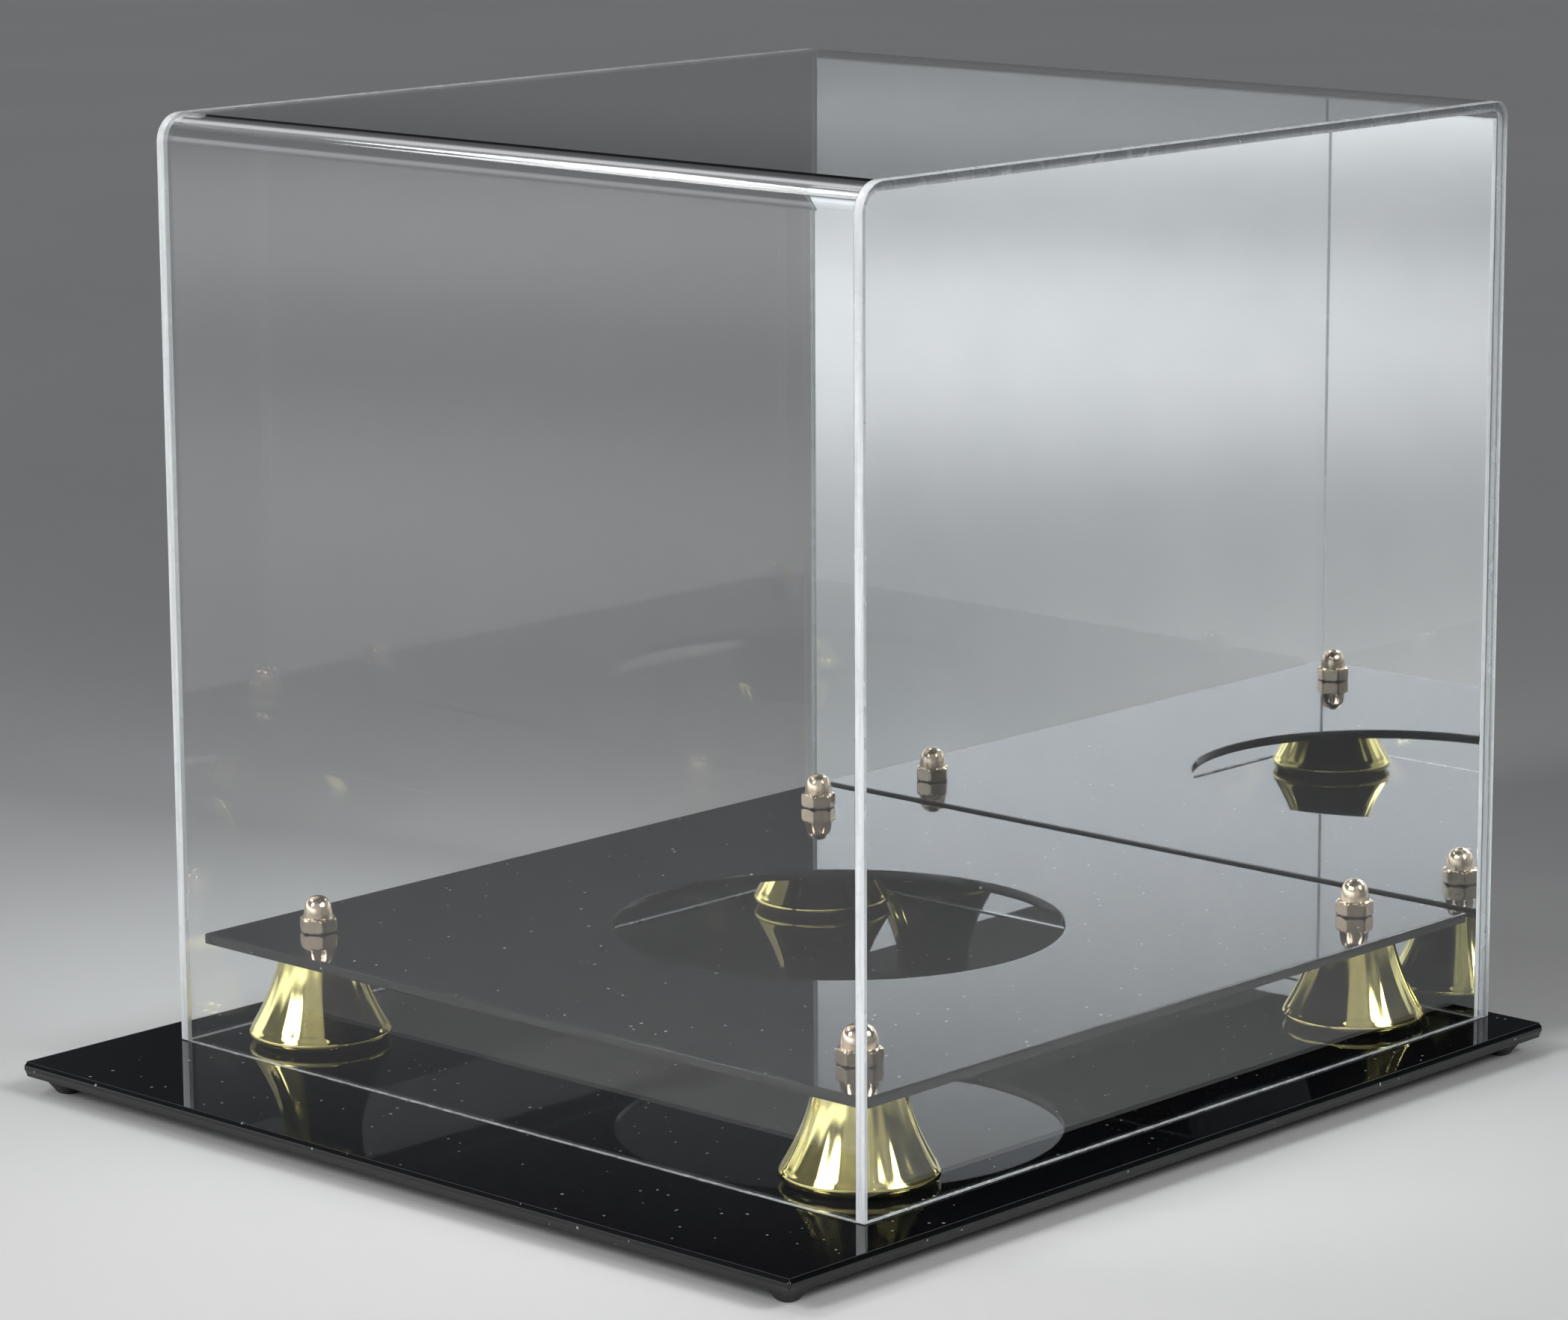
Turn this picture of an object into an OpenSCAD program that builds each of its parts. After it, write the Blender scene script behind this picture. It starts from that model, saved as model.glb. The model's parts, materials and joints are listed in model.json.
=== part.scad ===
// Tabletop display case for a round ball.
//
// A loose clear cover stands on a black base plate. Inside it a black platform
// with a round ball seat is raised on four bell risers, each clamped by a long
// screw from below the base and a cap nut on top of the platform.
//
// Frame: millimetres, +Z up, +X to the right, the front faces -Y. The origin is
// on the surface that the feet stand on, below the centre of the base plate.

/* [Cover] */
// Outside width of the cover
cover_w = 277; // [240:1:285]
// Outside depth of the cover
cover_d = 284; // [240:0.5:290]
// Height of the cover above the base plate
cover_h = 279; // [180:1:360]
// Thickness of the clear sheet
sheet_t = 3; // [2:0.5:4]
// Outside radius of the bend between front and top
front_bend_r = 8.5; // [5:0.5:20]
// Outside radius of the bend between back and top
back_bend_r = 5; // [5:0.5:20]
// Thickness of the mirror sheet
mirror_t = 2; // [1:0.5:2.5]

/* [Base plate] */
// Width of the base plate
base_w = 310.5; // [300:0.5:360]
// Depth of the base plate
base_d = 336.5; // [326:0.5:380]
// Thickness of the base plate
base_t = 4.5; // [4:0.5:8]
// Width and height of the polished bevel round the top edge
base_bevel = 1.2; // [0.5:0.1:2]
// How far the base plate stands out behind the cover
back_ledge = 5; // [3:0.5:12]

/* [Platform] */
// Gap between the platform and each side panel
side_gap = 2.75; // [1:0.25:6]
// Gap between the platform and the cover's front and back walls; the mirror stands in the back one
end_gap = 3.25; // [3:0.25:6]
// Thickness of the platform
platform_t = 3; // [2.5:0.5:5]
// Diameter of the ball seat
seat_d = 134.6; // [80:0.2:150]

/* [Risers] */
// Height of a riser
riser_h = 30; // [20:1:36]
// Diameter of a riser at its rim
riser_rim_d = 42.8; // [36:0.2:46]
// Diameter of a riser at its neck
riser_neck_d = 23.4; // [18:0.2:26]
// Distance of a riser axis from the platform's side edge
riser_inset_x = 24; // [22:0.25:36]
// Distance of a riser axis from the platform's front or back edge
riser_inset_y = 24.75; // [22:0.25:36]

/* [Fasteners] */
// Width of the cap nut across its flats
nut_af = 10; // [9:0.1:12]
// Height of the cap nut
nut_h = 11.2; // [9.6:0.1:12]
// Diameter of the screw
screw_d = 4.8; // [3:0.1:5]

/* [Feet] */
// Width of a foot where it meets the base plate
foot_top_w = 11.5; // [10:0.5:16]
// Width of a foot where it stands
foot_bottom_w = 6; // [6:0.5:9]
// Height of a foot
foot_h = 5; // [4.5:0.5:8]
// Distance from the edge of the base plate to a foot
foot_inset = 3.5; // [3:0.5:20]

/* [Hidden] */

// Round faces are true circles; this sets how finely they are drawn.
ROUND = 96;
// Small clearance past a face, so that a cut goes right through it
CUT = 1;

black = [0.03, 0.03, 0.035];
clear = [0.80, 0.88, 0.92, 0.35];
silver = [0.62, 0.65, 0.68];
gold = [0.85, 0.68, 0.22];
rose_gold = [0.80, 0.60, 0.42];
rubber_black = [0.06, 0.06, 0.06];
steel = [0.55, 0.55, 0.57];

// Heights of the faces that the parts share
base_top = foot_h + base_t;
platform_bottom = base_top + riser_h;
platform_top = platform_bottom + platform_t;

// The cover stands nearer the back of the base plate than the front.
cover_y = base_d / 2 - back_ledge - cover_d / 2;
cover_front = cover_y - cover_d / 2;
cover_back = cover_y + cover_d / 2;
mirror_front = cover_back - sheet_t - mirror_t;

// Platform outline, centred in the cover
platform_w = cover_w - 2 * sheet_t - 2 * side_gap;
platform_d = cover_d - 2 * sheet_t - 2 * end_gap;
riser_x = platform_w / 2 - riser_inset_x;
riser_y = platform_d / 2 - riser_inset_y;

// Base plate details
base_corner_r = 0.8;
base_lower_bevel = 1.9;

// The mirror's top edge stays just below the back bend, and its ends clear the side panels.
mirror_edge_gap = 0.25;
mirror_w = cover_w - 2 * sheet_t - 2 * mirror_edge_gap;
mirror_h = cover_h - back_bend_r - mirror_edge_gap;

// Riser details: the bell flares down to a short upright rim, which turns in to the foot ring.
rim_z = 3.6;
rim_band_h = 1.8;
foot_ring_d = 39.4;
flare_power = 1.7;
flare_steps = 16;
bell_wall = 2.2;
deck_t = 3;
post_d = 10;

// Screw details: a pan head below the base plate and a plain shank up into the nut
hole_clearance = 0.4;
screw_hole_d = screw_d + hole_clearance;
head_d = 9.4;
head_h = 2.9;
head_edge_r = 1.2;
recess_w = 1.1;
recess_l = 5;
recess_depth = 1.6;
thread_grip = 7;

// Cap nut details: a chamfered hexagon, then a short barrel with a round top
hex_h = 4.8;
hex_chamfer = 0.6;
dome_d = 9;
thread_clearance = 0.1;
tip_clearance = 0.5;
tapped_d = screw_d + thread_clearance;
tapped_depth = thread_grip + tip_clearance;

// Feet details
foot_edge_r = 1.6;

// Corner positions: sign of X, then sign of Y
LEFT = -1;
RIGHT = 1;
FRONT = -1;
BACK = 1;

// --- shared shapes ---------------------------------------------------------

// Square of width w about the origin, less its corners beyond radius r
module rounded_plate(w, d, r) {
  difference() {
    square([w, d], center = true);
    for (sx = [LEFT, RIGHT], sy = [FRONT, BACK])
      translate([sx * (w / 2 - r), sy * (d / 2 - r)])
        difference() {
          translate([sx * (r + CUT) / 2, sy * (r + CUT) / 2]) square(r + CUT, center = true);
          circle(r, $fn = ROUND);
        }
  }
}

// Puts a child on the axis of one riser
module at_riser(sx, sy) {
  translate([sx * riser_x, cover_y + sy * riser_y, 0]) children();
}

// Straight holes for the four screws, from height z0 to z1
module screw_holes(z0, z1) {
  for (sx = [LEFT, RIGHT], sy = [FRONT, BACK])
    at_riser(sx, sy)
      translate([0, 0, z0 - CUT]) cylinder(h = z1 - z0 + 2 * CUT, d = screw_hole_d, $fn = ROUND);
}

// --- stand -----------------------------------------------------------------

// Edge section of the base plate over a span w: bevelled above and below
module base_section(w) {
  polygon([
    [-w / 2 + base_lower_bevel, 0], [w / 2 - base_lower_bevel, 0],
    [w / 2, base_lower_bevel], [w / 2, base_t - base_bevel],
    [w / 2 - base_bevel, base_t], [-w / 2 + base_bevel, base_t],
    [-w / 2, base_t - base_bevel], [-w / 2, base_lower_bevel]
  ]);
}

module base_plate() {
  color(black)
    difference() {
      translate([0, 0, foot_h])
        intersection() {
          linear_extrude(base_t) rounded_plate(base_w, base_d, base_corner_r);
          translate([0, base_d / 2, 0]) rotate([90, 0, 0]) linear_extrude(base_d) base_section(base_w);
          translate([-base_w / 2, 0, 0]) rotate([90, 0, 90]) linear_extrude(base_w) base_section(base_d);
        }
      screw_holes(foot_h, base_top);
    }
}

// Side view of a foot: straight taper with rounded lower edges
module foot_section() {
  intersection() {
    polygon([
      [-foot_bottom_w / 2, 0], [foot_bottom_w / 2, 0],
      [foot_top_w / 2, foot_h], [-foot_top_w / 2, foot_h]
    ]);
    union() {
      translate([-foot_top_w / 2, foot_edge_r]) square([foot_top_w, foot_h]);
      translate([-foot_bottom_w / 2 + foot_edge_r, 0]) square([foot_bottom_w - 2 * foot_edge_r, foot_h]);
      for (sx = [LEFT, RIGHT])
        translate([sx * (foot_bottom_w / 2 - foot_edge_r), foot_edge_r]) circle(foot_edge_r, $fn = ROUND);
    }
  }
}

module foot(sx, sy) {
  inset = foot_inset + foot_top_w / 2;
  color(rubber_black)
    translate([sx * (base_w / 2 - inset), sy * (base_d / 2 - inset), 0])
      intersection() {
        translate([0, foot_top_w / 2, 0]) rotate([90, 0, 0]) linear_extrude(foot_top_w) foot_section();
        translate([-foot_top_w / 2, 0, 0]) rotate([90, 0, 90]) linear_extrude(foot_top_w) foot_section();
        linear_extrude(foot_h) rounded_plate(foot_top_w, foot_top_w, foot_edge_r);
      }
}

module screw(sx, sy) {
  shank = base_t + riser_h + platform_t + thread_grip;
  color(steel)
    at_riser(sx, sy)
      translate([0, 0, foot_h]) {
        cylinder(h = shank, d = screw_d, $fn = ROUND);
        difference() {
          rotate([180, 0, 0])
            rotate_extrude($fn = ROUND)
              intersection() {
                union() {
                  square([head_d / 2, head_h - head_edge_r]);
                  square([head_d / 2 - head_edge_r, head_h]);
                  translate([head_d / 2 - head_edge_r, head_h - head_edge_r]) circle(head_edge_r, $fn = ROUND);
                }
                square([head_d, head_h]);
              }
          for (turn = [0, 90])
            rotate([0, 0, turn])
              translate([-recess_l / 2, -recess_w / 2, -head_h - CUT])
                cube([recess_l, recess_w, recess_depth + CUT]);
        }
      }
}

// Radius of the bell at height z, from the rim up to the neck
function bell_r(z) =
  riser_neck_d / 2
  + (riser_rim_d - riser_neck_d) / 2 * pow((riser_h - z) / (riser_h - rim_z), flare_power);
bell_curve = [
  for (i = [0 : flare_steps])
    let (z = rim_z + (riser_h - rim_z) * i / flare_steps)
      [bell_r(z), z]
];
bell_hollow = [
  for (i = [0 : flare_steps])
    let (z = rim_z + (riser_h - deck_t - rim_z) * i / flare_steps)
      [bell_r(z) - bell_wall, z]
];

module riser(sx, sy) {
  color(gold)
    at_riser(sx, sy)
      translate([0, 0, base_top])
        rotate_extrude($fn = ROUND)
          difference() {
            polygon(concat(
              [[0, 0], [foot_ring_d / 2, 0], [riser_rim_d / 2, rim_z - rim_band_h]],
              bell_curve,
              [[0, riser_h]]
            ));
            polygon(concat(
              [[post_d / 2, -CUT], [foot_ring_d / 2 - bell_wall, -CUT]],
              bell_hollow,
              [[post_d / 2, riser_h - deck_t]]
            ));
            translate([0, -CUT]) square([screw_hole_d / 2, riser_h + 2 * CUT]);
          }
}

module platform() {
  color(black)
    difference() {
      translate([-platform_w / 2, cover_y - platform_d / 2, platform_bottom])
        cube([platform_w, platform_d, platform_t]);
      translate([0, cover_y, platform_bottom - CUT]) cylinder(h = platform_t + 2 * CUT, d = seat_d, $fn = ROUND);
      screw_holes(platform_bottom, platform_top);
    }
}

module cap_nut(sx, sy) {
  corner_d = nut_af / cos(30);
  dome_r = dome_d / 2;
  color(rose_gold)
    at_riser(sx, sy)
      translate([0, 0, platform_top])
        difference() {
          union() {
            intersection() {
              cylinder(h = hex_h, d = corner_d, $fn = 6);
              rotate_extrude($fn = ROUND)
                polygon([
                  [0, 0], [nut_af / 2, 0], [corner_d / 2, hex_chamfer],
                  [corner_d / 2, hex_h - hex_chamfer], [nut_af / 2, hex_h], [0, hex_h]
                ]);
            }
            cylinder(h = nut_h - dome_r, d = dome_d, $fn = ROUND);
            translate([0, 0, nut_h - dome_r]) sphere(d = dome_d, $fn = ROUND);
          }
          translate([0, 0, -CUT]) cylinder(h = tapped_depth + CUT, d = tapped_d, $fn = ROUND);
        }
}

// --- cover -----------------------------------------------------------------

// What a rounded corner of radius r leaves out; the corner is at the origin, the part is at +X and -Y.
module corner_waste(r) {
  difference() {
    translate([-CUT, -r]) square([r + CUT, r + CUT]);
    translate([r, -r]) circle(r, $fn = ROUND);
  }
}

// End view of the cover, front at the left, drawn a distance inside its outer faces
module cover_outline(inside) {
  y0 = cover_front + inside;
  y1 = cover_back - inside;
  top = cover_h - inside;
  difference() {
    translate([y0, 0]) square([y1 - y0, top]);
    translate([y0, top]) corner_waste(front_bend_r - inside);
    translate([y1, top]) mirror([1, 0]) corner_waste(back_bend_r - inside);
  }
}

// Stands an end view up as a slab from x0, of width w
module across(x0, w) {
  translate([x0, 0, base_top]) rotate([90, 0, 90]) linear_extrude(w) children();
}

module cover_bent_sheet() {
  inner_w = cover_w - 2 * sheet_t;
  color(clear)
    across(-inner_w / 2, inner_w)
      difference() {
        cover_outline(0);
        translate([0, -CUT]) cover_outline(sheet_t);
        translate([cover_front + sheet_t, -CUT]) square([cover_d - 2 * sheet_t, 2 * CUT]);
      }
}

module cover_side_panel(side) {
  color(clear) across(side == LEFT ? -cover_w / 2 : cover_w / 2 - sheet_t, sheet_t) cover_outline(0);
}

module mirror_panel() {
  color(silver)
    translate([-mirror_w / 2, mirror_front, base_top]) cube([mirror_w, mirror_t, mirror_h]);
}

// --- assembly --------------------------------------------------------------

base_plate();
foot(LEFT, FRONT);  // foot_front_left
foot(RIGHT, FRONT);  // foot_front_right
foot(LEFT, BACK);  // foot_back_left
foot(RIGHT, BACK);  // foot_back_right
screw(LEFT, FRONT);  // screw_front_left
screw(RIGHT, FRONT);  // screw_front_right
screw(LEFT, BACK);  // screw_back_left
screw(RIGHT, BACK);  // screw_back_right
riser(LEFT, FRONT);  // riser_front_left
riser(RIGHT, FRONT);  // riser_front_right
riser(LEFT, BACK);  // riser_back_left
riser(RIGHT, BACK);  // riser_back_right
platform();
cap_nut(LEFT, FRONT);  // cap_nut_front_left
cap_nut(RIGHT, FRONT);  // cap_nut_front_right
cap_nut(LEFT, BACK);  // cap_nut_back_left
cap_nut(RIGHT, BACK);  // cap_nut_back_right
cover_bent_sheet();
cover_side_panel(LEFT);  // cover_left_panel
cover_side_panel(RIGHT);  // cover_right_panel
mirror_panel();
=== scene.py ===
import json
import math

import bmesh
import bpy
from mathutils import Matrix, Vector


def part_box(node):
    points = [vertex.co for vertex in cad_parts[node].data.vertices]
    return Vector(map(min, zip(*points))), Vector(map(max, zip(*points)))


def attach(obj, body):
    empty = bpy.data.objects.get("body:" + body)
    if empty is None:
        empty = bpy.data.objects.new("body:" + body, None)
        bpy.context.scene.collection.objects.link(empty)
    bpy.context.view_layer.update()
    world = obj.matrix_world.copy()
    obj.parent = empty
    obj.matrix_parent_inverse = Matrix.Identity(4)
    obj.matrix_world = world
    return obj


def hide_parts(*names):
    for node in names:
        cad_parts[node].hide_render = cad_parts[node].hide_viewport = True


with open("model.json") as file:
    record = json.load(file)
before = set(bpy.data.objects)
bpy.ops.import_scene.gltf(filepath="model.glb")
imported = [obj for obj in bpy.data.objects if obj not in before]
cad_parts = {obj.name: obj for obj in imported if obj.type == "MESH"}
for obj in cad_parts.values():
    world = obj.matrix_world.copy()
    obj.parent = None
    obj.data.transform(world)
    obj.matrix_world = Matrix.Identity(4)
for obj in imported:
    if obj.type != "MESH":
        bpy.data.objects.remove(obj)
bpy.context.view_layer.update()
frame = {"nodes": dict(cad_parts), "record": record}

MM = 0.001
SIDES = ("front_left", "front_right", "back_left", "back_right")


# ---------------------------------------------------------------- shader nodes
def node_adder(tree):
    """The function that adds a shader node to a tree, with its inputs set or linked."""

    def add(kind, inputs=None, **props):
        node = tree.nodes.new("ShaderNode" + kind)
        for key, value in props.items():
            setattr(node, key, value)
        for key, value in (inputs or {}).items():
            if isinstance(value, bpy.types.NodeSocket):
                tree.links.new(value, node.inputs[key])
            else:
                node.inputs[key].default_value = value
        return node

    return add


def material(name):
    """A new empty node material and the function that adds nodes to it."""
    mat = bpy.data.materials.new(name)
    mat.use_nodes = True
    mat.node_tree.nodes.clear()
    return mat, node_adder(mat.node_tree)


def rgb(r, g, b):
    return (r, g, b, 1.0)


def ramp(add, value, stops):
    """A colour ramp over a 0 to 1 value. The two stops are (position, grey or colour)."""
    node = add("ValToRGB", {"Fac": value})
    for element, (at, colour) in zip(node.color_ramp.elements, stops):
        element.position = at
        element.color = rgb(colour, colour, colour) if isinstance(colour, float) else rgb(*colour)
    return node.outputs["Color"]


def noise(add, scale, detail, seed, rough=0.55, stretch=(1, 1, 1)):
    """Smooth noise fixed to the piece, in a space of metres."""
    at = add("TexCoord").outputs["Object"]
    shift = (seed, seed * 0.7, seed * 1.3)
    place = add("Mapping", {"Vector": at, "Scale": stretch, "Location": shift})
    node = add("TexNoise", {"Vector": place.outputs["Vector"], "Scale": scale, "Detail": detail,
                            "Roughness": rough})
    return node.outputs["Fac"]


def specks(add, scale, amount, seed):
    """1 on scattered tiny dust grains, 0 elsewhere. Distances are shares of a cell."""
    largest, soft_rim = 0.22, 0.06
    at = add("TexCoord").outputs["Object"]
    shift = (seed, seed * 1.7, seed * 0.4)
    place = add("Mapping", {"Vector": at, "Location": shift})
    cells = add("TexVoronoi", {"Vector": place.outputs["Vector"], "Scale": scale, "Randomness": 1.0})
    size = add("SeparateColor", {"Color": cells.outputs["Color"]})
    reach = add("MapRange", {"Value": size.outputs["Red"], "From Min": 1.0 - amount, "From Max": 1.0,
                             "To Min": 0.0, "To Max": largest})
    grain = add("Math", {0: reach.outputs["Result"], 1: cells.outputs["Distance"]},
                operation="SUBTRACT")
    mask = add("MapRange", {"Value": grain.outputs["Value"], "From Min": 0.0, "From Max": soft_rim})
    return mask.outputs["Result"]


def bump(add, height, strength, distance):
    """A surface normal from a height, with the distance in metres."""
    return add("Bump", {"Height": height, "Strength": strength, "Distance": distance}).outputs["Normal"]


def surface(add, shader):
    add("OutputMaterial", {"Surface": shader})


# ---------------------------------------------------------------- materials
ACRYLIC_IOR = 1.49


def black_acrylic():
    """Gloss black sheet with dust on it and a faint uneven haze."""
    mat, add = material("black_acrylic_gloss")
    dust = specks(add, scale=360.0, amount=0.22, seed=3.0)
    haze = noise(add, scale=9.0, detail=4.0, rough=0.6, seed=2.0)
    colour = add("MixRGB", {"Fac": dust, "Color1": rgb(0.0035, 0.0037, 0.0042),
                            "Color2": rgb(0.30, 0.31, 0.32)})
    gloss = ramp(add, haze, [(0.35, 0.012), (0.75, 0.045)])
    normal = bump(add, noise(add, scale=14.0, detail=2.0, seed=5.0), strength=0.05, distance=0.0004)
    shader = add("BsdfPrincipled", {"Base Color": colour.outputs["Color"], "Roughness": gloss,
                                    "IOR": ACRYLIC_IOR, "Normal": normal})
    surface(add, shader.outputs["BSDF"])
    return mat


def clear_acrylic():
    """Clear sheet, slightly wavy. Its shadow is a light tint, so the inside stays lit."""
    mat, add = material("clear_acrylic_sheet")
    normal = bump(add, noise(add, scale=7.0, detail=1.5, seed=9.0), strength=0.06, distance=0.0003)
    glass = add("BsdfPrincipled", {"Base Color": rgb(0.978, 0.984, 0.986), "Roughness": 0.0,
                                   "IOR": ACRYLIC_IOR, "Transmission Weight": 1.0, "Normal": normal})
    clear = add("BsdfTransparent", {"Color": rgb(0.90, 0.92, 0.92)})
    ray = add("LightPath")
    mix = add("MixShader", {0: ray.outputs["Is Shadow Ray"], 1: glass.outputs["BSDF"],
                            2: clear.outputs["BSDF"]})
    surface(add, mix.outputs["Shader"])
    return mat


def cut_edge(name, tint, rough, see):
    """A sawn and scraped sheet edge: pale, satin, with fine marks across it."""
    mat, add = material(name)
    marks = noise(add, scale=60.0, detail=3.0, rough=0.6, stretch=(12, 12, 0.6), seed=4.0)
    tone = ramp(add, marks, [(0.3, tuple(0.80 * c for c in tint)), (0.62, tint)])
    grain = noise(add, scale=130.0, detail=2.0, seed=1.0)
    gloss = ramp(add, grain, [(0.35, rough * 0.7), (0.7, rough * 1.3)])
    normal = bump(add, marks, strength=0.25, distance=0.0002)
    shader = add("BsdfPrincipled", {"Base Color": tone, "Roughness": gloss, "IOR": ACRYLIC_IOR,
                                    "Transmission Weight": see, "Normal": normal})
    surface(add, shader.outputs["BSDF"])
    return mat


def metal(name, colour, rough, wave, grain):
    """Bright plating: fine grain, faint waviness, small dull spots."""
    mat, add = material(name)
    spots = noise(add, scale=240.0, detail=3.0, rough=0.6, seed=6.0)
    tone = ramp(add, spots, [(0.30, tuple(0.90 * c for c in colour)), (0.6, colour)])
    wear = noise(add, scale=90.0, detail=4.0, rough=0.6, seed=8.0)
    gloss = ramp(add, wear, [(0.35, rough * 0.6), (0.75, rough * 1.8)])
    fine = bump(add, noise(add, scale=1500.0, detail=2.0, seed=1.0), strength=grain, distance=0.00002)
    swell = noise(add, scale=120.0, detail=1.0, seed=3.0)
    slow = add("Bump", {"Height": swell, "Strength": wave, "Distance": 0.0001, "Normal": fine})
    shader = add("BsdfPrincipled", {"Base Color": tone, "Metallic": 1.0, "Roughness": gloss,
                                    "Normal": slow.outputs["Normal"]})
    surface(add, shader.outputs["BSDF"])
    return mat


def mirror_film():
    """Silvering with the slow waviness of a plastic mirror."""
    mat, add = material("mirror_film")
    slow = bump(add, noise(add, scale=5.0, detail=1.0, seed=12.0), strength=0.03, distance=0.0004)
    cloud = noise(add, scale=30.0, detail=3.0, seed=7.0)
    tone = ramp(add, cloud, [(0.3, (0.83, 0.86, 0.87)), (0.7, (0.87, 0.89, 0.90))])
    shader = add("BsdfPrincipled", {"Base Color": tone, "Metallic": 1.0, "Roughness": 0.008,
                                    "Normal": slow})
    surface(add, shader.outputs["BSDF"])
    return mat


def satin(name, dark, light, rough, scale, bumps, seed):
    """A plain dull finish with tone, roughness and grain variation."""
    mat, add = material(name)
    cloud = noise(add, scale=scale, detail=5.0, rough=0.6, seed=seed)
    tone = ramp(add, cloud, [(0.3, dark), (0.7, light)])
    wear = noise(add, scale=scale * 2.7, detail=3.0, seed=seed + 1)
    gloss = ramp(add, wear, [(0.3, rough * 0.8), (0.7, rough * 1.15)])
    grain = noise(add, scale=scale * 9, detail=3.0, seed=seed + 2)
    normal = bump(add, grain, strength=bumps, distance=0.0002)
    shader = add("BsdfPrincipled", {"Base Color": tone, "Roughness": gloss, "Normal": normal})
    surface(add, shader.outputs["BSDF"])
    return mat


BLACK = black_acrylic()
CLEAR = clear_acrylic()
EDGE = cut_edge("acrylic_cut_edge", tint=(0.90, 0.93, 0.95), rough=0.30, see=0.0)
JOINT = cut_edge("acrylic_glue_joint", tint=(0.86, 0.89, 0.92), rough=0.25, see=0.35)
SEAT = cut_edge("acrylic_lower_edge", tint=(0.60, 0.63, 0.66), rough=0.30, see=0.50)
GOLD = metal("gold_plating", colour=(0.93, 0.83, 0.33), rough=0.10, wave=0.30, grain=0.05)
NUT = metal("pale_brass_plating", colour=(0.95, 0.78, 0.58), rough=0.15, wave=0.25, grain=0.08)
MIRROR = mirror_film()
PAINT = satin("mirror_back_paint", dark=(0.10, 0.105, 0.11), light=(0.13, 0.135, 0.14), rough=0.55,
              scale=60.0, bumps=0.15, seed=4.0)
STEEL = metal("zinc_plating", colour=(0.62, 0.63, 0.65), rough=0.22, wave=0.2, grain=0.2)
RUBBER = satin("bumper_rubber", dark=(0.010, 0.010, 0.011), light=(0.022, 0.022, 0.023), rough=0.55,
               scale=300.0, bumps=0.3, seed=8.0)


# ---------------------------------------------------------------- mesh tools
# Faces of a sheet that meet at more degrees than this keep a sharp edge
SHEET_ANGLE = 32


def finish_piece(name, bm, mats, node, body, angle):
    """Turns bm into a named piece, smooth except where faces meet at more than angle degrees."""
    bmesh.ops.remove_doubles(bm, verts=bm.verts, dist=1e-8)
    bmesh.ops.recalc_face_normals(bm, faces=bm.faces)
    mesh = bpy.data.meshes.new(name)
    bm.to_mesh(mesh)
    bm.free()
    for mat in mats:
        mesh.materials.append(mat)
    for face in mesh.polygons:
        face.use_smooth = True
    mesh.set_sharp_from_angle(angle=math.radians(angle))
    piece = bpy.data.objects.new(name, mesh)
    bpy.context.scene.collection.objects.link(piece)
    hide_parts(node)
    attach(piece, body)


def band(bm, a, b, mat=0):
    """Faces between two closed rings of the same length."""
    for i in range(len(a)):
        j = (i + 1) % len(a)
        bm.faces.new((a[i], a[j], b[j], b[i])).material_index = mat


def corner_loop(u0, v0, u1, v1, radii, inset, steps):
    """A closed outline with its own radius at each corner: high-high, low-high, low-low, high-low."""
    smallest = 0.02 * MM
    points = []
    corners = ((u1, v1, -1, -1, 0), (u0, v1, 1, -1, 90), (u0, v0, 1, 1, 180), (u1, v0, -1, 1, 270))
    for (cu, cv, su, sv, start), radius in zip(corners, radii):
        mu, mv = cu + su * radius, cv + sv * radius
        reach = max(radius - inset, smallest)
        for i in range(steps + 1):
            a = math.radians(start + 90 * i / steps)
            points.append((mu + reach * math.cos(a), mv + reach * math.sin(a)))
    return points


def rounded(profile, radius, steps=3):
    """Rounds every inner corner of an open path of (inset, height) points."""
    most = 0.45
    out = [profile[0]]
    for before, at, after in zip(profile, profile[1:], profile[2:]):
        p, a, b = Vector(at), Vector(before), Vector(after)
        r = min(radius, (a - p).length * most, (b - p).length * most)
        start, end = p + (a - p).normalized() * r, p + (b - p).normalized() * r
        for i in range(steps + 1):
            t = i / steps
            out.append(tuple(start * (1 - t) ** 2 + p * 2 * t * (1 - t) + end * t * t))
    return out + [profile[-1]]


def circle(cu, cv, radius, steps):
    """Points around a circle, from its high u side."""
    angles = (2 * math.pi * k / steps for k in range(steps))
    return [(cu + radius * math.cos(t), cv + radius * math.sin(t)) for t in angles]


def fill_between(bm, loops, mat):
    """Fills the flat face between an outer loop and the holes in it."""
    edges = []
    for loop in loops:
        for i in range(len(loop)):
            edges.append(bm.edges.get((loop[i], loop[(i + 1) % len(loop)])))
    made = bmesh.ops.triangle_fill(bm, edges=edges, use_beauty=True, use_dissolve=False)
    for face in made["geom"]:
        if isinstance(face, bmesh.types.BMFace):
            face.material_index = mat


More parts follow.
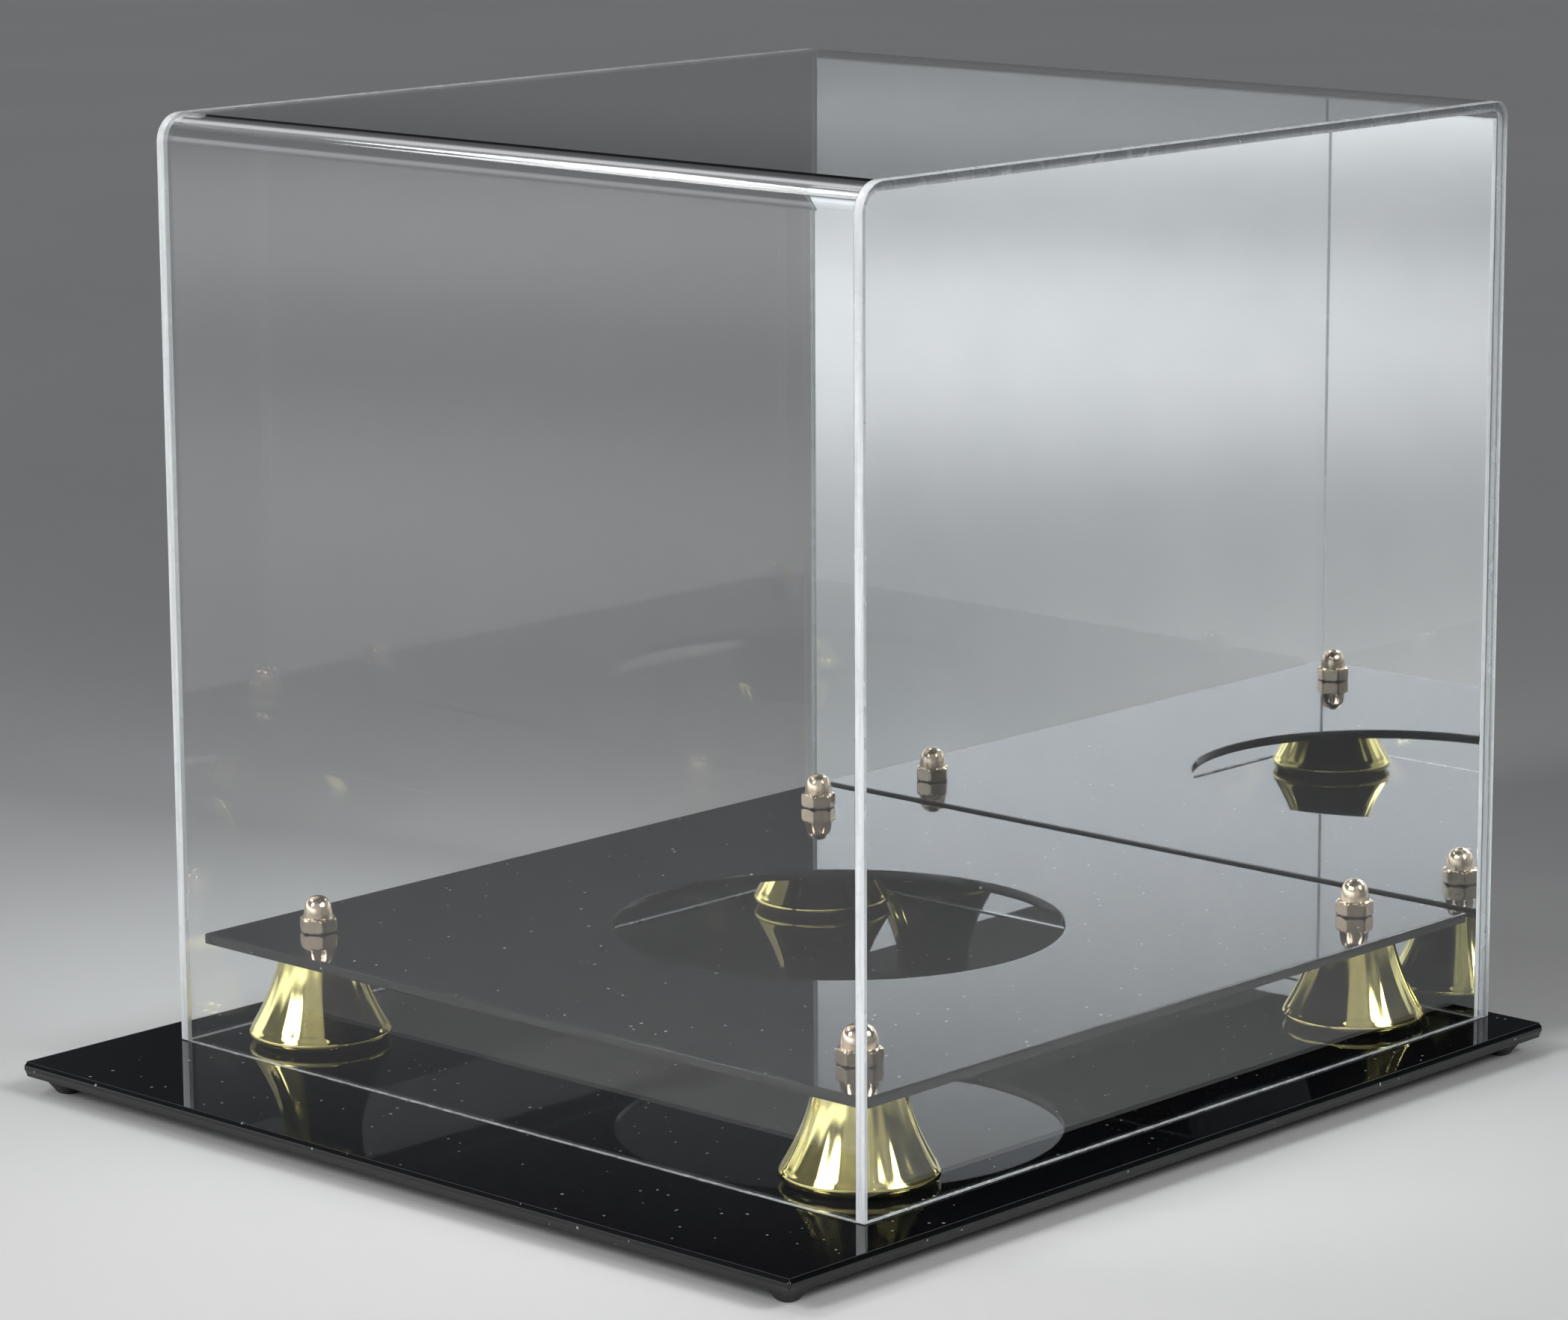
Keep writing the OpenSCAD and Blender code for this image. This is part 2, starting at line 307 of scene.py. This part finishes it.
def slab(bm, outline, path, place, holes=(), hole_path=(), rim=0, low=0, high=0):
    """A plate between the ends of path, whose points are (inset, height).

    outline(inset) gives the plan, place(u, v, w) the point in space. Holes are (u, v, radius, steps),
    and hole_path widens them by its first value. low, rim and high are the places of the materials
    in the list given to finish_piece.
    """
    rings = [[bm.verts.new(place(u, v, w)) for u, v in outline(inset)] for inset, w in path]
    last = len(rings) - 2
    for i, (a, b) in enumerate(zip(rings, rings[1:])):
        band(bm, a, b, low if i == 0 else high if i == last else rim)
    bottom, top = [rings[0]], [rings[-1]]
    for cu, cv, radius, steps in holes:
        loops = []
        for grow, w in hole_path:
            loops.append([bm.verts.new(place(u, v, w)) for u, v in circle(cu, cv, radius + grow, steps)])
        for a, b in zip(loops, loops[1:]):
            band(bm, a, b, rim)
        bottom.append(loops[0])
        top.append(loops[-1])
    for loops, mat in ((bottom, low), (top, high)):
        if len(loops) == 1:
            bm.faces.new(loops[0]).material_index = mat
        else:
            fill_between(bm, loops, mat)


def plain(r, t, z):
    """The same radius in every direction."""
    return r


def lathe(bm, path, centre, steps, reach=plain, cap_end=False):
    """Rings about an upright axis through centre, one for each (r, z) of path.

    reach(r, angle, z) gives the radius in each direction.
    """
    x, y, base = centre
    rings = []
    for r, z in path:
        ring = []
        for k in range(steps):
            t = 2 * math.pi * k / steps
            far = reach(r, t, z)
            ring.append(bm.verts.new((x + far * math.cos(t), y + far * math.sin(t), base + z)))
        rings.append(ring)
    for a, b in zip(rings, rings[1:]):
        band(bm, a, b)
    if cap_end:
        bm.faces.new(rings[-1])


def weld(bm):
    """Joins the ends of separate lathe turns that meet."""
    bmesh.ops.remove_doubles(bm, verts=bm.verts, dist=1e-7)


def in_mm(points):
    return [(a * MM, b * MM) for a, b in points]


# ---------------------------------------------------------------- stand
SCREW_HOLE_R, SCREW_HOLE_STEPS = 2.6 * MM, 32


def axis_of(node):
    lo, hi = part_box(node)
    return (lo.x + hi.x) / 2, (lo.y + hi.y) / 2


def flat_place(u, v, w):
    return (u, v, w)


def screw_holes():
    return [(*axis_of("screw_" + side), SCREW_HOLE_R, SCREW_HOLE_STEPS) for side in SIDES]


def build_base():
    """The base plate, with a bevel above, a wider one below and rounded arrises."""
    lo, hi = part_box("base_plate")
    bevel, under, arris = 1.2 * MM, 1.9 * MM, 0.35 * MM
    corner, flat, hole_bevel = 0.8 * MM, 1.2 * MM, 0.25 * MM

    def outline(inset):
        return corner_loop(lo.x, lo.y, hi.x, hi.y, [corner] * 4, inset, 6)

    path = [(under + flat, lo.z), (under, lo.z), (0, lo.z + under), (0, hi.z - bevel), (bevel, hi.z),
            (bevel + flat, hi.z)]
    hole_path = [(hole_bevel, lo.z), (0, lo.z + hole_bevel), (0, hi.z - hole_bevel), (hole_bevel, hi.z)]
    bm = bmesh.new()
    slab(bm, outline, rounded(path, arris), flat_place, screw_holes(), hole_path)
    finish_piece("base_plate_gloss", bm, [BLACK], "base_plate", "stand",
                 SHEET_ANGLE)


def build_platform():
    """The raised sheet with the round ball seat and the four screw holes."""
    lo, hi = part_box("platform")
    seat = next(m for m in frame["record"]["mounts"] if m["name"] == "ball_seat")
    seat_x, seat_y = seat["pos_m"][0], seat["pos_m"][1]
    seat_r, seat_steps = 67.3 * MM, 160
    corner, arris, flat, hole_flat = 1.2 * MM, 0.5 * MM, 1.0 * MM, 0.8 * MM

    def outline(inset):
        return corner_loop(lo.x, lo.y, hi.x, hi.y, [corner] * 4, inset, 6)

    def edge(reach):
        return rounded([(reach, lo.z), (0, lo.z), (0, hi.z), (reach, hi.z)], arris, 4)

    holes = screw_holes() + [(seat_x, seat_y, seat_r, seat_steps)]
    bm = bmesh.new()
    slab(bm, outline, edge(flat), flat_place, holes, edge(hole_flat))
    finish_piece("platform_gloss", bm, [BLACK], "platform", "stand",
                 SHEET_ANGLE)


# The depth of a flute is a share of the radius, and FLUTE_STEPS is how many points each one has
FLUTES, FLUTE_DEPTH, FLUTE_STEPS = 18, 0.016, 8
# Outline of the bell's rim below and above its widest band: radius and height in mm
RIM_UNDER = ((19.5, 0.03), (19.72, 0.12), (21.0, 1.45), (21.28, 1.78))
RIM_OVER = ((21.32, 3.4), (21.1, 3.62))
# Heights in mm where the widest band starts and ends
RIM_BAND = (2.05, 3.1)


def build_riser(side):
    """A hollow bell with a rim band, a fluted flare and a post inside around the screw."""
    node = "riser_" + side
    lo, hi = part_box(node)
    cx, cy = axis_of(node)
    neck, rim, height, rim_z = 11.7 * MM, (hi.x - lo.x) / 2, hi.z - lo.z, 3.6 * MM
    flare_power, flute_start, flute_run = 1.7, 0.98, 2.2 * MM
    wall, crown, widest_inside = 2.2 * MM, 3.0 * MM, 17.5 * MM
    bore_r, post_r, gap = 2.7 * MM, 5.0 * MM, 0.03 * MM
    outer_steps, inner_steps = 30, 12

    def flare(z):
        return neck + (rim - neck) * ((height - z) / (height - rim_z)) ** flare_power

    def flute(r, t, z):
        share = min(max((z - rim_z * flute_start) / flute_run, 0.0), 1.0)
        share = share * share * (3 - 2 * share)
        return r * (1 - FLUTE_DEPTH * share * (0.5 - 0.5 * math.cos(FLUTES * t)))

    top = height - gap
    outer = in_mm(RIM_UNDER) + [(rim, z * MM) for z in RIM_BAND] + in_mm(RIM_OVER)
    for i in range(1, outer_steps + 1):
        z = rim_z + (top - rim_z) * i / outer_steps
        outer.append((flare(z), z))
    inner = []
    for i in range(inner_steps, -1, -1):
        z = gap + (height - crown - gap) * i / inner_steps
        inner.append((min(flare(max(z, rim_z)) - wall, widest_inside), z))
    bore_and_post = [(bore_r, top), (bore_r, gap), (post_r, gap), (post_r, height - crown)]
    bm = bmesh.new()
    centre, steps = (cx, cy, lo.z), FLUTES * FLUTE_STEPS
    lathe(bm, outer + [(bore_r, top)], centre, steps, flute)
    lathe(bm, bore_and_post + inner + [outer[0]], centre, steps, flute)
    weld(bm)
    finish_piece(node + "_bell", bm, [GOLD], node, "stand", angle=38)


# Outline of a cap nut's hexagon with its chamfers, radius and height in mm
NUT_HEX = ((4.7, 0.02), (5.0, 0.08), (5.35, 0.28), (5.8, 0.62), (5.9, 0.9), (5.9, 3.8), (5.8, 4.15),
           (5.35, 4.5), (5.0, 4.68), (4.75, 4.77), (4.55, 4.8), (4.45, 4.88))
# Outline of its dome: radius in mm, share of the dome's height
NUT_DOME = ((4.42, 0.06), (4.38, 0.15), (4.3, 0.25), (4.2, 0.36), (4.05, 0.47), (3.85, 0.58),
            (3.58, 0.68), (3.22, 0.77), (2.78, 0.85), (2.25, 0.91), (1.65, 0.955), (1.0, 0.985),
            (0.08, 1.0))
# How far each nut was left turned, in degrees
NUT_TURN = {"front_left": 2, "front_right": -47, "back_left": 24, "back_right": 10}


def build_nut(side):
    """An acorn nut: a hexagon with chamfers, a dome on it and a blind hole from below."""
    node = "cap_nut_" + side
    lo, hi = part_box(node)
    cx, cy = axis_of(node)
    height, hex_h = hi.z - lo.z, 4.8 * MM
    flat_r = 5.05 * MM
    corner_r = flat_r / math.cos(math.radians(30)) - 0.12 * MM
    hole_r, hole_depth, gap = 2.45 * MM, 7.0 * MM, 0.02 * MM
    turn, sixth = math.radians(NUT_TURN[side]), math.pi / 3

    def hexed(r, t, z):
        if z > hex_h + gap or r <= hole_r:
            return r
        a = (t - turn + sixth / 2) % sixth - sixth / 2
        return min(flat_r / math.cos(a), corner_r, r)

    path = [(hole_r, gap)] + in_mm(NUT_HEX)
    for r, share in NUT_DOME:
        path.append((r * MM, hex_h + (height - hex_h) * share))
    bm = bmesh.new()
    centre, steps = (cx, cy, lo.z), 120
    lathe(bm, path, centre, steps, hexed, cap_end=True)
    lathe(bm, [(hole_r, gap), (hole_r, hole_depth)], centre, steps, cap_end=True)
    weld(bm)
    finish_piece(node + "_plated", bm, [NUT], node, "stand", angle=30)


def build_foot(side):
    """A square rubber foot that narrows downwards in a slight S, with a rounded tip."""
    node = "foot_" + side
    lo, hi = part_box(node)
    cx, cy = axis_of(node)
    half, height = (hi.x - lo.x) / 2, hi.z - lo.z
    tip = half - 3.0 * MM
    top = height - 0.02 * MM
    corner, corner_share = 2.2 * MM, 0.8

    def outline(inset):
        h = half - inset
        square = corner_loop(-h, -h, h, h, [min(corner, h * corner_share)] * 4, 0, 6)
        return [(cx + u, cy + v) for u, v in square]

    path = [(tip + 1.5 * MM, 0.0), (tip + 0.6 * MM, 0.0), (tip + 0.25 * MM, 0.12 * MM),
            (tip - 0.1 * MM, 0.5 * MM), (tip - 0.4 * MM, 1.1 * MM), (0.9 * MM, 3.3 * MM),
            (0.12 * MM, 4.3 * MM), (0.0, 4.8 * MM), (0.05 * MM, top), (1.5 * MM, top)]
    bm = bmesh.new()
    slab(bm, outline, [(inset, lo.z + w) for inset, w in path], flat_place)
    finish_piece(node + "_bumper", bm, [RUBBER], node, "stand", angle=40)


def plate_screw(side):
    """A screw stays the frame's own piece and only gets its material."""
    screw = frame["nodes"]["screw_" + side]
    screw.data.materials.clear()
    screw.data.materials.append(STEEL)


build_base()
build_platform()
for side in SIDES:
    build_riser(side)
    build_nut(side)
    build_foot(side)
    plate_screw(side)


# ---------------------------------------------------------------- cover
# The cover is drawn this far above the base plate, and its sheets this far apart, so that clear
# faces do not lie in one plane
LIFT = 0.06 * MM
GAP = 0.05 * MM
SHEET = 3.0 * MM
FRONT_BEND, BACK_BEND = 8.5 * MM, 5.0 * MM


def frost_bottom(bm, z, mat):
    """Gives the faces that rest on the base the half-clear material."""
    reach = 0.3 * MM
    for face in bm.faces:
        if all(vert.co.z < z + reach for vert in face.verts):
            face.material_index = mat


def build_side_panel(node, name):
    """A flat end sheet that follows both bends, with sawn edges."""
    lo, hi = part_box(node)
    low_corner, arris, flat = 0.3 * MM, 0.22 * MM, 0.5 * MM

    def outline(inset):
        radii = [BACK_BEND, FRONT_BEND, low_corner, low_corner]
        return corner_loop(lo.y, lo.z + LIFT, hi.y, hi.z, radii, inset, 14)

    path = rounded([(flat, lo.x), (0, lo.x), (0, hi.x), (flat, hi.x)], arris, 3)
    bm = bmesh.new()
    slab(bm, outline, path, lambda u, v, w: (w, u, v), rim=1)
    frost_bottom(bm, lo.z + LIFT, 2)
    finish_piece(name, bm, [CLEAR, EDGE, SEAT], node, "cover", SHEET_ANGLE)


def bend(cy, cz, radius, start, steps):
    """Outer and inner (y, z) of the sheet through a quarter turn, from front to back."""
    for i in range(steps + 1):
        a = math.radians(start - 90 * i / steps)
        yield tuple((cy + r * math.cos(a), cz + r * math.sin(a)) for r in (radius, radius - SHEET))


def build_bent_sheet():
    """Front, top and back of the cover in one sheet, swept across between the end sheets."""
    lo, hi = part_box("cover_bent_sheet")
    clear_face, low_edge, glued_end = 0, 1, 2
    y0, y1, z0, z1 = lo.y, hi.y, lo.z + LIFT, hi.z
    stations = [((y0, z0), (y0 + SHEET, z0))]
    stations.extend(bend(y0 + FRONT_BEND, z1 - FRONT_BEND, FRONT_BEND, 180, 16))
    stations.extend(bend(y1 - BACK_BEND, z1 - BACK_BEND, BACK_BEND, 90, 12))
    stations.append(((y1, z0), (y1 - SHEET, z0)))
    x0, x1 = lo.x + GAP, hi.x - GAP
    bm = bmesh.new()
    rows = [[bm.verts.new((x, *p)) for x in (x0, x1) for p in pair] for pair in stations]
    for a, b in zip(rows, rows[1:]):
        bm.faces.new((a[0], a[2], b[2], b[0])).material_index = clear_face
        bm.faces.new((a[1], b[1], b[3], a[3])).material_index = clear_face
        bm.faces.new((a[0], b[0], b[1], a[1])).material_index = glued_end
        bm.faces.new((a[2], a[3], b[3], b[2])).material_index = glued_end
    for row in (rows[0], rows[-1]):
        bm.faces.new((row[0], row[1], row[3], row[2])).material_index = low_edge
    finish_piece("cover_bent_sheet_clear", bm, [CLEAR, SEAT, JOINT], "cover_bent_sheet",
                 "cover", SHEET_ANGLE)


def build_mirror():
    """The mirror: a clear sheet with its silvering behind, and the paint behind that."""
    lo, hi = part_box("mirror_panel")
    film = hi.y - 0.12 * MM
    corner, arris, thin = 0.4 * MM, 0.12 * MM, 0.02 * MM

    def outline(inset):
        return corner_loop(lo.x, lo.z + LIFT, hi.x, hi.z, [corner] * 4, inset, 4)

    def upright(u, v, w):
        return (u, w, v)

    path = rounded([(corner, lo.y), (0, lo.y), (0, film), (corner, film)], arris, 2)
    bm = bmesh.new()
    slab(bm, outline, path, upright, rim=1, high=2)
    finish_piece("mirror_panel_sheet", bm, [CLEAR, EDGE, MIRROR], "mirror_panel",
                 "cover", angle=30)
    path = [(thin, film + thin), (0, film + 2 * thin), (0, hi.y - thin / 2), (thin, hi.y)]
    bm = bmesh.new()
    slab(bm, outline, path, upright)
    finish_piece("mirror_panel_backing", bm, [PAINT], "mirror_panel", "cover",
                 angle=30)


build_side_panel("cover_left_panel", "cover_left_panel_clear")
build_side_panel("cover_right_panel", "cover_right_panel_clear")
build_bent_sheet()
build_mirror()


# ---------------------------------------------------------------- floor
def build_floor():
    """A plain pale floor, wide enough to fill every view."""
    mat, add = material("studio_floor")
    cloud = noise(add, scale=3.0, detail=4.0, rough=0.6, seed=3.0)
    tone = ramp(add, cloud, [(0.3, (0.70, 0.70, 0.70)), (0.7, (0.74, 0.74, 0.74))])
    normal = bump(add, noise(add, scale=260.0, detail=3.0, seed=1.0), strength=0.05, distance=0.0003)
    shader = add("BsdfPrincipled", {"Base Color": tone, "Roughness": 0.75, "Normal": normal})
    surface(add, shader.outputs["BSDF"])
    cells, half = 12, 9.0
    marks = [half * (2 * i / cells - 1) for i in range(cells + 1)]
    bm = bmesh.new()
    grid = [[bm.verts.new((x, y, 0)) for x in marks] for y in marks]
    for near, far in zip(grid, grid[1:]):
        for i in range(cells):
            bm.faces.new((near[i], near[i + 1], far[i + 1], far[i]))
    mesh = bpy.data.meshes.new("studio_floor")
    bm.to_mesh(mesh)
    bm.free()
    mesh.materials.append(mat)
    floor = bpy.data.objects.new("studio_floor", mesh)
    bpy.context.scene.collection.objects.link(floor)


# ---------------------------------------------------------------- light
WALL_AIM = (-0.68, -0.73, 0.0)
WALL_LIGHT, GLOW, DIM = rgb(1.85, 1.90, 1.98), rgb(0.13, 0.135, 0.14), rgb(0.032, 0.034, 0.037)
# Two weaker patches of the room: direction, where each starts and is full as a cosine, and tone
PATCHES = (((0.62, -0.67, 0.40), 0.72, 0.95, 0.38), ((-0.67, 0.16, 0.72), 0.86, 0.97, 0.60))


def build_world():
    """A dim room with a low bright wall to the front left, which the gloss surfaces reflect.

    Heights are the upward part of a direction, from -1 to 1.
    """
    world = bpy.data.worlds.new("studio")
    world.use_nodes = True
    world.node_tree.nodes.clear()
    add = node_adder(world.node_tree)
    way = add("TexCoord").outputs["Generated"]
    height = add("SeparateXYZ", {0: way}).outputs["Z"]

    def facing(aim):
        dot = add("VectorMath", {0: way, 1: Vector(aim).normalized()}, operation="DOT_PRODUCT")
        return dot.outputs["Value"]

    def fade(value, start, end, first=0.0, last=1.0):
        """A smooth change from first to last while value goes from start to end."""
        node = add("MapRange", {"Value": value, "From Min": start, "From Max": end, "To Min": first,
                                "To Max": last}, interpolation_type="SMOOTHSTEP")
        return node.outputs["Result"]

    def times(a, b):
        return add("Math", {0: a, 1: b}, operation="MULTIPLY").outputs["Value"]

    def blend(share, a, b):
        return add("MixRGB", {"Fac": share, "Color1": a, "Color2": b}).outputs["Color"]

    low = fade(height, start=0.22, end=0.32, first=1.0, last=0.05)
    rise = fade(height, start=0.03, end=0.13, first=0.40, last=1.0)
    wall = times(fade(facing(WALL_AIM), start=0.0, end=0.85), times(low, rise))
    colour = blend(fade(height, start=0.09, end=0.19, first=1.0, last=0.0), DIM, GLOW)
    for aim, start, full, tone in PATCHES:
        colour = blend(fade(facing(aim), start, full), colour, rgb(tone, tone, tone * 1.02))
    colour = blend(wall, colour, WALL_LIGHT)
    back = add("Background", {"Color": colour, "Strength": 1.0})
    add("OutputWorld", {"Surface": back.outputs["Background"]})
    bpy.context.scene.world = world


# Name, place and target in metres, size, power in watts, colour, spread in degrees
LIGHTS = (
    ("softbox_front", (-0.20, -1.30, 0.85), (0.10, -0.14, 0), (0.60, 0.95), 0.85, (1.0, 0.995, 0.98), 30),
    ("softbox_right", (1.30, 0.10, 0.85), (0.24, -0.14, 0), (0.75, 0.95), 1.15, (1.0, 1.0, 0.99), 30),
    ("softbox_left", (-1.15, -0.63, 1.45), (0.25, -0.20, 0), (0.50, 0.22), 0.35, (1.0, 1.0, 1.0), 44),
    ("softbox_far", (-1.0, -0.95, 1.0), (-0.95, -0.90, 0), (0.8, 0.8), 3.3, (0.99, 0.995, 1.0), 76),
    ("softbox_wall", (-2.1, -2.35, 1.4), (-2.1, -2.35, 0), (1.6, 1.6), 19.0, (0.97, 0.99, 1.0), 96),
)


def area_light(name, at, target, size, power, colour, spread):
    """A rectangular light at one point, turned to face another."""
    data = bpy.data.lights.new(name, "AREA")
    data.shape = "RECTANGLE"
    data.size, data.size_y = size
    data.energy = power
    data.color = colour
    data.spread = math.radians(spread)
    lamp = bpy.data.objects.new(name, data)
    lamp.location = at
    lamp.rotation_mode = "QUATERNION"
    lamp.rotation_quaternion = (Vector(target) - Vector(at)).to_track_quat("-Z", "Y")
    bpy.context.scene.collection.objects.link(lamp)


# ---------------------------------------------------------------- camera
EYE = Vector((1.06104, -1.14231, 0.44367))
CAMERA_RIGHT = Vector((0.73270, 0.68053, -0.00502))
CAMERA_UP = Vector((-0.13207, 0.14942, 0.97991))
SENSOR_MM, LENS_MM = 36.0, 123.41
CLIP_NEAR, CLIP_FAR = 0.05, 60.0


def build_camera():
    """The photo's camera, as solved together with the case's edges."""
    right = CAMERA_RIGHT.normalized()
    up = (CAMERA_UP - CAMERA_UP.dot(right) * right).normalized()
    back = right.cross(up)
    lens = bpy.data.cameras.new("photo_camera")
    lens.sensor_width = SENSOR_MM
    lens.lens = LENS_MM
    lens.clip_start, lens.clip_end = CLIP_NEAR, CLIP_FAR
    camera = bpy.data.objects.new("photo_camera", lens)
    rows = [(right[i], up[i], back[i], EYE[i]) for i in range(3)]
    camera.matrix_world = Matrix((*rows, (0, 0, 0, 1)))
    bpy.context.scene.collection.objects.link(camera)
    bpy.context.scene.camera = camera


build_floor()
build_world()
for light in LIGHTS:
    area_light(*light)
build_camera()
bpy.context.scene.view_settings.view_transform = "Standard"
